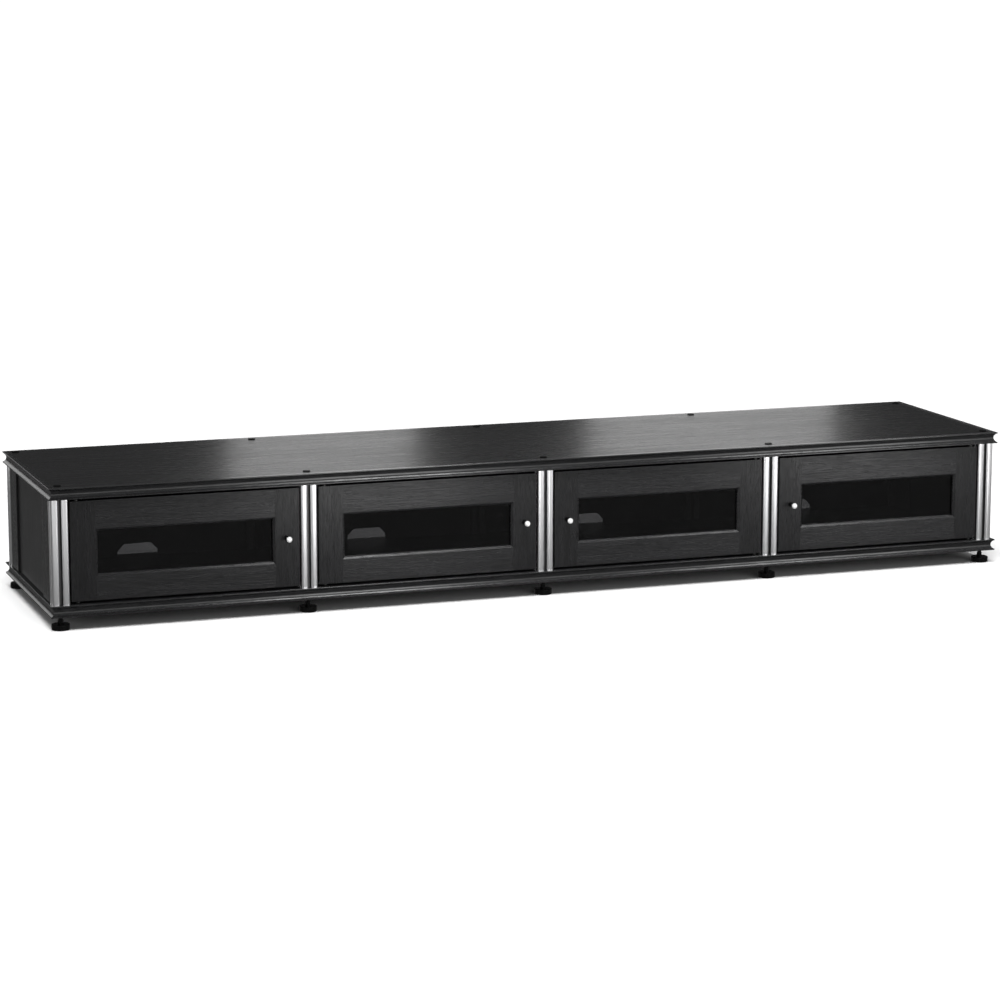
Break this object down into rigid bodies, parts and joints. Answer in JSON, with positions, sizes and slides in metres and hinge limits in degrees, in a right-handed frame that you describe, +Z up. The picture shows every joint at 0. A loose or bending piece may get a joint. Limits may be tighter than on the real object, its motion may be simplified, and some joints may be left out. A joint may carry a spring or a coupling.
{
  "type": "media cabinet",
  "caption": "Low, wide media cabinet with inset windowed doors between aluminium posts, cove-edged boards, cable notches behind and levelling feet.",
  "frame": {"origin": "centre of the footprint at floor level, under the middle of the overall box, knobs included", "axes": "+X along the width to the viewer's right, the doors face -Y, +Z up from the floor"},
  "size_m": [2.182, 0.514, 0.304],
  "materials": {
    "black_laminate": "satin, open grain",
    "black_moulding": "satin, fine grain",
    "black_panel": "matt",
    "satin_aluminium": "satin anodised",
    "smoked_glass": "smoked, polished",
    "black_plastic": "moulded, matt",
    "black_foot": "moulded, satin",
    "zinc_steel": "zinc plated",
    "polished_chrome": "polished"
  },
  "bodies": {
    "carcass": {"top_board": "black_laminate", "bottom_board": "black_laminate", "top_edge_moulding": "black_moulding", "bottom_edge_moulding": "black_moulding", "front_post_1": "satin_aluminium", "front_post_2": "satin_aluminium", "front_post_3": "satin_aluminium", "front_post_4": "satin_aluminium", "front_post_5": "satin_aluminium", "rear_post_1": "satin_aluminium", "rear_post_2": "satin_aluminium", "rear_post_3": "satin_aluminium", "rear_post_4": "satin_aluminium", "rear_post_5": "satin_aluminium", "tie_bolts": "zinc_steel", "bolt_caps": "black_plastic", "foot_inserts": "zinc_steel", "side_stiles": "black_laminate", "left_side_panel": "black_laminate", "right_side_panel": "black_laminate", "pivot_bushes": "black_plastic", "magnetic_catches": "black_plastic", "rear_panel_1": "black_panel", "rear_panel_2": "black_panel", "rear_panel_3": "black_panel", "rear_panel_4": "black_panel"},
    "door_1": {"door_1_frame": "black_laminate", "door_1_glass": "smoked_glass", "door_1_glass_beads": "black_plastic", "door_1_knob": "polished_chrome", "door_1_pivot_pins": "zinc_steel", "door_1_strike_plate": "zinc_steel"},
    "door_2": {"door_2_frame": "black_laminate", "door_2_glass": "smoked_glass", "door_2_glass_beads": "black_plastic", "door_2_knob": "polished_chrome", "door_2_pivot_pins": "zinc_steel", "door_2_strike_plate": "zinc_steel"},
    "door_3": {"door_3_frame": "black_laminate", "door_3_glass": "smoked_glass", "door_3_glass_beads": "black_plastic", "door_3_knob": "polished_chrome", "door_3_pivot_pins": "zinc_steel", "door_3_strike_plate": "zinc_steel"},
    "door_4": {"door_4_frame": "black_laminate", "door_4_glass": "smoked_glass", "door_4_glass_beads": "black_plastic", "door_4_knob": "polished_chrome", "door_4_pivot_pins": "zinc_steel", "door_4_strike_plate": "zinc_steel"},
    "foot_1": {"levelling_foot_1": "black_foot"},
    "foot_2": {"levelling_foot_2": "black_foot"},
    "foot_3": {"levelling_foot_3": "black_foot"},
    "foot_4": {"levelling_foot_4": "black_foot"},
    "foot_5": {"levelling_foot_5": "black_foot"},
    "foot_6": {"levelling_foot_6": "black_foot"},
    "foot_7": {"levelling_foot_7": "black_foot"},
    "foot_8": {"levelling_foot_8": "black_foot"},
    "foot_9": {"levelling_foot_9": "black_foot"},
    "foot_10": {"levelling_foot_10": "black_foot"}
  },
  "joints": [
    {"name": "door_1_hinge", "type": "hinge", "parent": "carcass", "child": "door_1", "pos_m": [-1.0316, -0.223, 0.1651], "axis": [0, 0, -1], "range_deg": [0, 105]},
    {"name": "door_2_hinge", "type": "hinge", "parent": "carcass", "child": "door_2", "pos_m": [-0.4982, -0.223, 0.1651], "axis": [0, 0, -1], "range_deg": [0, 105]},
    {"name": "door_3_hinge", "type": "hinge", "parent": "carcass", "child": "door_3", "pos_m": [0.4982, -0.223, 0.1651], "axis": [0, 0, 1], "range_deg": [0, 105]},
    {"name": "door_4_hinge", "type": "hinge", "parent": "carcass", "child": "door_4", "pos_m": [1.0316, -0.223, 0.1651], "axis": [0, 0, 1], "range_deg": [0, 105]},
    {"name": "foot_1_screw", "type": "hinge", "parent": "carcass", "child": "foot_1", "pos_m": [-1.0668, -0.2142, 0.02], "axis": [0, 0, 1], "continuous": true},
    {"name": "foot_2_screw", "type": "hinge", "parent": "carcass", "child": "foot_2", "pos_m": [-0.5334, -0.2142, 0.02], "axis": [0, 0, 1], "continuous": true},
    {"name": "foot_3_screw", "type": "hinge", "parent": "carcass", "child": "foot_3", "pos_m": [0, -0.2142, 0.02], "axis": [0, 0, 1], "continuous": true},
    {"name": "foot_4_screw", "type": "hinge", "parent": "carcass", "child": "foot_4", "pos_m": [0.5334, -0.2142, 0.02], "axis": [0, 0, 1], "continuous": true},
    {"name": "foot_5_screw", "type": "hinge", "parent": "carcass", "child": "foot_5", "pos_m": [1.0668, -0.2142, 0.02], "axis": [0, 0, 1], "continuous": true},
    {"name": "foot_6_screw", "type": "hinge", "parent": "carcass", "child": "foot_6", "pos_m": [-1.0668, 0.2302, 0.02], "axis": [0, 0, 1], "continuous": true},
    {"name": "foot_7_screw", "type": "hinge", "parent": "carcass", "child": "foot_7", "pos_m": [-0.5334, 0.2302, 0.02], "axis": [0, 0, 1], "continuous": true},
    {"name": "foot_8_screw", "type": "hinge", "parent": "carcass", "child": "foot_8", "pos_m": [0, 0.2302, 0.02], "axis": [0, 0, 1], "continuous": true},
    {"name": "foot_9_screw", "type": "hinge", "parent": "carcass", "child": "foot_9", "pos_m": [0.5334, 0.2302, 0.02], "axis": [0, 0, 1], "continuous": true},
    {"name": "foot_10_screw", "type": "hinge", "parent": "carcass", "child": "foot_10", "pos_m": [1.0668, 0.2302, 0.02], "axis": [0, 0, 1], "continuous": true}
  ]
}
